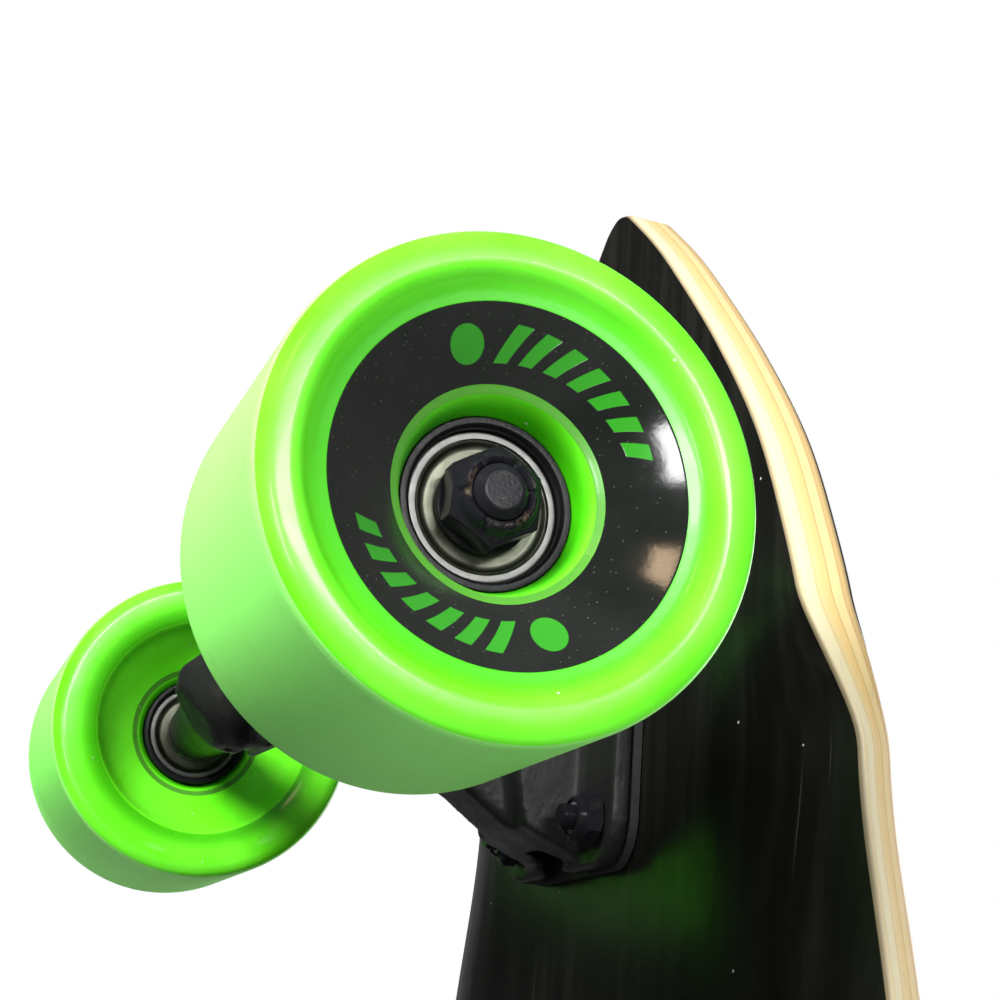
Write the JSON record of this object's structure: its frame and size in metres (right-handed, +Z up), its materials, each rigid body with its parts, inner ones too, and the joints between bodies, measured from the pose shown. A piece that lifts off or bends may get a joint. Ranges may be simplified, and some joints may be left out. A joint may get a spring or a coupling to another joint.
{
  "type": "skateboard",
  "caption": "Longboard skateboard: pointed laminated wooden deck with raised rails, reverse-kingpin trucks that steer on bushings, and soft green wheels on ball bearings.",
  "frame": {"origin": "on the ground under the middle of the deck, with the board standing on its wheels", "axes": "+X towards the nose, +Y to the left of a rider facing the nose, +Z up"},
  "size_m": [1.118, 0.26, 0.1212],
  "materials": {
    "deck_wood": "bare varnished ply edge, black gloss lacquer on the underside",
    "grip": "coarse black abrasive sheet",
    "black_plastic": "satin moulded plastic",
    "wheel_urethane": "satin cast urethane, bright green, with a black printed ring on the outer face",
    "truck_black": "black satin powder coat on cast aluminium",
    "black_steel": "black oxide",
    "zinc_steel": "zinc plated",
    "bearing_steel": "ground and polished",
    "bushing_urethane": "cast urethane, translucent green"
  },
  "bodies": {
    "board": {"deck": "deck_wood", "grip_tape": "grip", "front_baseplate": "truck_black", "front_pivot_cup": "black_plastic", "front_kingpin": "zinc_steel", "front_kingpin_nut": "zinc_steel", "front_board_bushing": "bushing_urethane", "front_road_bushing": "bushing_urethane", "front_board_washer": "zinc_steel", "front_road_washer": "zinc_steel", "front_riser": "black_plastic", "front_bolt_1": "black_steel", "front_bolt_2": "black_steel", "front_bolt_3": "black_steel", "front_bolt_4": "black_steel", "rear_baseplate": "truck_black", "rear_pivot_cup": "black_plastic", "rear_kingpin": "zinc_steel", "rear_kingpin_nut": "zinc_steel", "rear_board_bushing": "bushing_urethane", "rear_road_bushing": "bushing_urethane", "rear_board_washer": "zinc_steel", "rear_road_washer": "zinc_steel", "rear_riser": "black_plastic", "rear_bolt_1": "black_steel", "rear_bolt_2": "black_steel", "rear_bolt_3": "black_steel", "rear_bolt_4": "black_steel"},
    "front_hanger": {"front_hanger": "truck_black", "front_axle": "black_steel", "front_left_spacer": "bearing_steel", "front_left_axle_washer": "black_steel", "front_left_axle_nut": "black_steel", "front_right_spacer": "bearing_steel", "front_right_axle_washer": "black_steel", "front_right_axle_nut": "black_steel"},
    "front_left_wheel": {"front_left_tyre": "wheel_urethane", "front_left_core": "black_plastic", "front_left_inner_bearing": "bearing_steel", "front_left_outer_bearing": "bearing_steel"},
    "front_right_wheel": {"front_right_tyre": "wheel_urethane", "front_right_core": "black_plastic", "front_right_inner_bearing": "bearing_steel", "front_right_outer_bearing": "bearing_steel"},
    "rear_hanger": {"rear_hanger": "truck_black", "rear_axle": "black_steel", "rear_left_spacer": "bearing_steel", "rear_left_axle_washer": "black_steel", "rear_left_axle_nut": "black_steel", "rear_right_spacer": "bearing_steel", "rear_right_axle_washer": "black_steel", "rear_right_axle_nut": "black_steel"},
    "rear_left_wheel": {"rear_left_tyre": "wheel_urethane", "rear_left_core": "black_plastic", "rear_left_inner_bearing": "bearing_steel", "rear_left_outer_bearing": "bearing_steel"},
    "rear_right_wheel": {"rear_right_tyre": "wheel_urethane", "rear_right_core": "black_plastic", "rear_right_inner_bearing": "bearing_steel", "rear_right_outer_bearing": "bearing_steel"}
  },
  "joints": [
    {"name": "front_steer", "type": "hinge", "parent": "board", "child": "front_hanger", "pos_m": [0.43901, 0, 0.02659], "axis": [0.6428, 0, 0.766], "range_deg": [-15, 15], "stiffness_Nm_per_rad": 30, "deforming": ["front_board_bushing", "front_road_bushing"]},
    {"name": "front_left_wheel_spin", "type": "hinge", "parent": "front_hanger", "child": "front_left_wheel", "pos_m": [0.4464, 0.103, 0.0354], "axis": [0, 1, 0], "continuous": true},
    {"name": "front_right_wheel_spin", "type": "hinge", "parent": "front_hanger", "child": "front_right_wheel", "pos_m": [0.4464, -0.103, 0.0354], "axis": [0, 1, 0], "continuous": true},
    {"name": "rear_steer", "type": "hinge", "parent": "board", "child": "rear_hanger", "pos_m": [-0.43901, 0, 0.02659], "axis": [-0.6428, 0, 0.766], "range_deg": [-15, 15], "stiffness_Nm_per_rad": 30, "deforming": ["rear_board_bushing", "rear_road_bushing"]},
    {"name": "rear_left_wheel_spin", "type": "hinge", "parent": "rear_hanger", "child": "rear_left_wheel", "pos_m": [-0.4464, 0.103, 0.0354], "axis": [0, 1, 0], "continuous": true},
    {"name": "rear_right_wheel_spin", "type": "hinge", "parent": "rear_hanger", "child": "rear_right_wheel", "pos_m": [-0.4464, -0.103, 0.0354], "axis": [0, 1, 0], "continuous": true}
  ]
}
